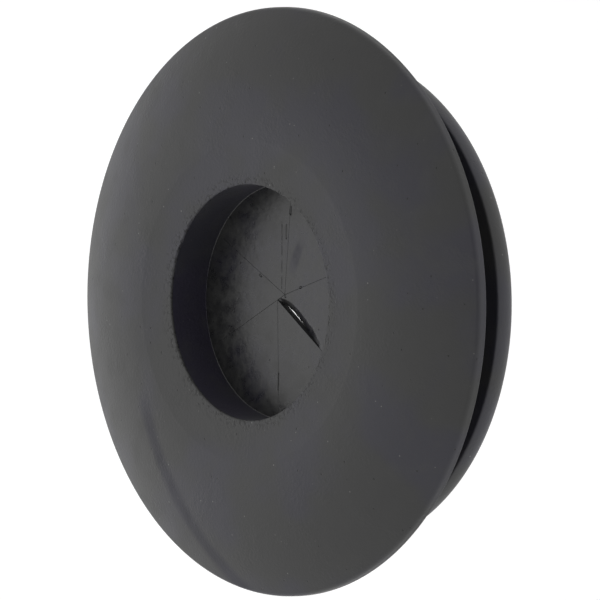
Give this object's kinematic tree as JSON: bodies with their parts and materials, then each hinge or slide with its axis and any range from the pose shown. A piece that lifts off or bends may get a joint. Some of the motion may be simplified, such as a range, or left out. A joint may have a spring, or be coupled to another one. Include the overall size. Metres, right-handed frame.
{
  "type": "desk grommet",
  "caption": "Round moulded rubber desk grommet with a domed flange, a recessed cable pocket closed by a slit membrane, a panel groove and a rear flange.",
  "frame": {"origin": "centre of the desk's hole, in the plane of the desk's surface, which is the plane of the sealing rim's flat underside", "axes": "+Z along the grommet's axis out of the desk, towards the domed face; X and Y lie in the desk's surface, and the first slit is 24 degrees from +X"},
  "size_m": [0.08, 0.08, 0.0194],
  "materials": {
    "flange_rubber": "charcoal black moulded rubber with a dry satin surface, faint mottling and a little dust",
    "membrane_rubber": "the same charcoal rubber, thin, slightly dustier and mottled, with cut slit edges"
  },
  "bodies": {
    "grommet_body": {"front_flange": "flange_rubber", "sealing_rim": "flange_rubber", "pocket_wall": "flange_rubber", "membrane_margin": "membrane_rubber", "neck_sleeve": "flange_rubber", "rear_flange": "flange_rubber"},
    "flap_1": {"flap_1": "membrane_rubber"},
    "flap_2": {"flap_2": "membrane_rubber"},
    "flap_3": {"flap_3": "membrane_rubber"},
    "flap_4": {"flap_4": "membrane_rubber"},
    "flap_5": {"flap_5": "membrane_rubber"},
    "flap_6": {"flap_6": "membrane_rubber"}
  },
  "joints": [
    {"name": "flap_1_bend", "type": "hinge", "parent": "grommet_body", "child": "flap_1", "pos_m": [0.00748, 0.0103, 0.0005], "axis": [0.809, -0.5878, 0], "range_deg": [-75, 75], "stiffness_Nm_per_rad": 0.002},
    {"name": "flap_2_bend", "type": "hinge", "parent": "grommet_body", "child": "flap_2", "pos_m": [-0.00518, 0.01163, 0.0005], "axis": [0.9135, 0.4067, 0], "range_deg": [-75, 75], "stiffness_Nm_per_rad": 0.002},
    {"name": "flap_3_bend", "type": "hinge", "parent": "grommet_body", "child": "flap_3", "pos_m": [-0.01266, 0.00133, 0.0005], "axis": [0.1045, 0.9945, 0], "range_deg": [-75, 75], "stiffness_Nm_per_rad": 0.002},
    {"name": "flap_4_bend", "type": "hinge", "parent": "grommet_body", "child": "flap_4", "pos_m": [-0.00748, -0.0103, 0.0005], "axis": [-0.809, 0.5878, 0], "range_deg": [-75, 75], "stiffness_Nm_per_rad": 0.002},
    {"name": "flap_5_bend", "type": "hinge", "parent": "grommet_body", "child": "flap_5", "pos_m": [0.00518, -0.01163, 0.0005], "axis": [-0.9135, -0.4067, 0], "range_deg": [-75, 75], "stiffness_Nm_per_rad": 0.002},
    {"name": "flap_6_bend", "type": "hinge", "parent": "grommet_body", "child": "flap_6", "pos_m": [0.01266, -0.00133, 0.0005], "axis": [-0.1045, -0.9945, 0], "range_deg": [-75, 75], "stiffness_Nm_per_rad": 0.002}
  ]
}
